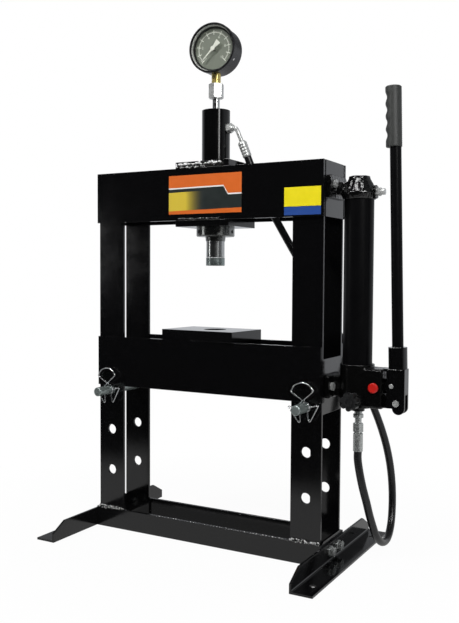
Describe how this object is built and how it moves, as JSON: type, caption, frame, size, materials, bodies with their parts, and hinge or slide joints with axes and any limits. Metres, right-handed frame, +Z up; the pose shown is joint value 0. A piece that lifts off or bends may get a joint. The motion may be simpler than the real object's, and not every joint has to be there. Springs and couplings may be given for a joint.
{
  "type": "hydraulic press",
  "caption": "Bench hydraulic press: black welded H-frame, pinned bed with a loose plate, ram cylinder with a dial gauge, and a lever hand pump feeding it through a hose.",
  "frame": {"origin": "on the floor plane, at the centre of the rectangle of the four floor holes in the feet", "axes": "+Z up along the ram, +X to the right towards the pump, +Y to the back"},
  "size_m": [0.6833, 0.378, 1.0085],
  "materials": {
    "black_paint": "gloss black enamel",
    "black_casting": "rough casting painted black",
    "zinc_steel": "bright zinc plating",
    "bare_steel": "turned and ground bare steel",
    "ground_chrome": "ground hard chrome",
    "brass": "turned brass",
    "black_plastic": "moulded black plastic",
    "red_plastic": "gloss red plastic",
    "black_rubber": "black rubber",
    "clear_glass": "clear flat glass",
    "dial_metal": "matt dark dial",
    "needle_metal": "matt off-white"
  },
  "bodies": {
    "frame": {"upright_front_left": "black_paint", "upright_front_right": "black_paint", "upright_rear_left": "black_paint", "upright_rear_right": "black_paint", "head_front_plate": "black_paint", "head_rear_plate": "black_paint", "head_end_plates": "black_paint", "barrel_top_plate": "black_paint", "barrel_bottom_plate": "black_paint", "base_front_plate": "black_paint", "base_rear_plate": "black_paint", "base_end_plates": "black_paint", "foot_left": "black_paint", "foot_right": "black_paint", "foot_bolts": "zinc_steel", "cylinder_barrel": "black_paint", "lock_nut": "bare_steel", "cylinder_gland": "bare_steel", "return_spring": "zinc_steel", "gauge_pipe": "zinc_steel", "gauge_adapter": "zinc_steel", "gauge_stem": "brass", "bourdon_tube": "brass", "gauge_case": "black_paint", "gauge_dial": "dial_metal", "gauge_lens": "clear_glass", "gauge_bezel": "black_paint", "pump_mount_plate": "black_paint", "pump_body": "black_casting", "pump_bolts": "zinc_steel", "reservoir_tube": "black_paint", "reservoir_cap": "black_casting", "filler_plug": "black_plastic", "vent_screw": "zinc_steel", "relief_cap": "red_plastic", "plunger_gland": "black_casting", "fulcrum_pin": "zinc_steel", "port_nut": "zinc_steel", "hose_upper_fitting": "zinc_steel", "hose": "black_rubber", "hose_lower_fitting": "zinc_steel", "hose_adapter": "zinc_steel"},
    "bed": {"bed_front_beam": "black_paint", "bed_rear_beam": "black_paint", "bed_spacers": "black_paint", "press_plate": "black_paint"},
    "pin_left": {"bed_pin_left": "zinc_steel", "pin_clip_left": "zinc_steel"},
    "pin_right": {"bed_pin_right": "zinc_steel", "pin_clip_right": "zinc_steel"},
    "ram": {"ram": "ground_chrome", "ram_nose": "bare_steel", "piston_seal": "black_rubber"},
    "lever": {"lever_bracket": "black_paint", "plunger_pin": "zinc_steel", "handle_tube": "black_paint", "handle_grip": "black_rubber"},
    "plunger": {"plunger": "ground_chrome"},
    "release_knob": {"release_knob": "black_plastic"},
    "gauge_needle": {"gauge_needle": "needle_metal"}
  },
  "joints": [
    {"name": "ram_extend", "type": "slide", "parent": "frame", "child": "ram", "axis": [0, 0, -1], "range_m": [0, 0.13], "stiffness_N_per_m": 300, "springref_m": -0.15, "deforming": ["return_spring"]},
    {"name": "bed_lift", "type": "slide", "parent": "frame", "child": "bed", "axis": [0, 0, 1], "range_m": [0, 0.06]},
    {"name": "pin_left_pull", "type": "slide", "parent": "frame", "child": "pin_left", "axis": [0, -1, 0], "range_m": [0, 0.12]},
    {"name": "pin_right_pull", "type": "slide", "parent": "frame", "child": "pin_right", "axis": [0, -1, 0], "range_m": [0, 0.12]},
    {"name": "lever_pump", "type": "hinge", "parent": "frame", "child": "lever", "pos_m": [0.373, 0, 0.3005], "axis": [0, 1, 0], "range_deg": [0, 50]},
    {"name": "plunger_stroke", "type": "slide", "parent": "frame", "child": "plunger", "axis": [1, 0, 0], "range_m": [0, 0.0265]},
    {"name": "release_turn", "type": "hinge", "parent": "frame", "child": "release_knob", "pos_m": [0.301, -0.04, 0.303], "axis": [0, -1, 0], "range_deg": [0, 270]},
    {"name": "gauge_needle_turn", "type": "hinge", "parent": "frame", "child": "gauge_needle", "pos_m": [0.00192, -0.0183, 0.96072], "axis": [-0.1045, 0.9945, 0], "range_deg": [0, 270], "stiffness_Nm_per_rad": 0.002, "springref_deg": -17.19}
  ],
  "couplings": [
    {"joint": "plunger_stroke", "follows": "lever_pump", "m_per_rad": 0.03}
  ]
}
